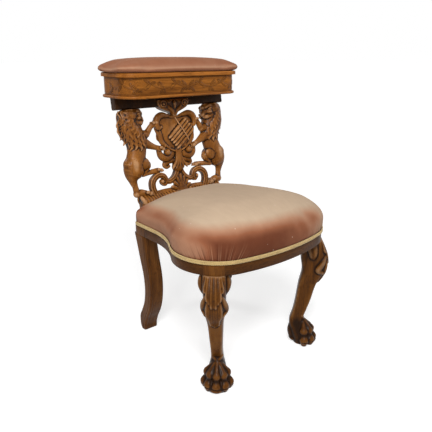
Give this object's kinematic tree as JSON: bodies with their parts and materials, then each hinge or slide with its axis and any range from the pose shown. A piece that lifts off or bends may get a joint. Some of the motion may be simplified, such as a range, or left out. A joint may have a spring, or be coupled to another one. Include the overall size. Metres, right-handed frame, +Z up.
{
  "type": "smoking chair",
  "caption": "Low wooden smoking chair with a waisted padded seat, carved lion and shield back, paw feet and a lidded, padded tobacco box on the crest.",
  "frame": {"origin": "on the floor, under the middle of the chair's bounding box", "axes": "+Z up, -Y to the chair's front; node names say left and right as seen from the front, so +X is right"},
  "size_m": [0.5022, 0.596, 0.85],
  "materials": {
    "walnut": "old polish, worn light on the high places and dark in the hollows",
    "beech": "plain sawn, unpolished",
    "velvet": "faded short-pile velvet",
    "gimp": "woven braid",
    "webbing": "woven jute",
    "hessian": "loose plain weave",
    "stuffing": "curled hair in a linen case",
    "brass": "dull, tarnished",
    "steel": "dull"
  },
  "bodies": {
    "chair": {"front_rail": "walnut", "left_rail": "walnut", "right_rail": "walnut", "rear_rail": "walnut", "front_left_leg": "walnut", "front_right_leg": "walnut", "rear_left_leg": "walnut", "rear_right_leg": "walnut", "corner_blocks": "beech", "block_screws": "steel", "webbing_across": "webbing", "webbing_lengthwise": "webbing", "seat_hessian": "hessian", "seat_stuffing": "stuffing", "seat_cover": "velvet", "seat_gimp": "gimp", "back_base_rail": "walnut", "left_lion": "walnut", "right_lion": "walnut", "shield_stem": "walnut", "back_top_rail": "walnut", "back_dowels": "beech", "box_bottom": "walnut", "box_front": "walnut", "box_back": "walnut", "box_left_end": "walnut", "box_right_end": "walnut", "box_screws": "steel", "hinge_box_leaves": "brass", "hinge_pins": "brass", "hinge_box_screws": "brass"},
    "lid": {"lid_board": "walnut", "lid_stuffing": "stuffing", "lid_cover": "velvet", "hinge_lid_leaves": "brass", "hinge_lid_screws": "brass"}
  },
  "joints": [
    {"name": "lid_hinge", "type": "hinge", "parent": "chair", "child": "lid", "pos_m": [0, 0.29, 0.7992], "axis": [-1, 0, 0], "range_deg": [0, 100]}
  ]
}
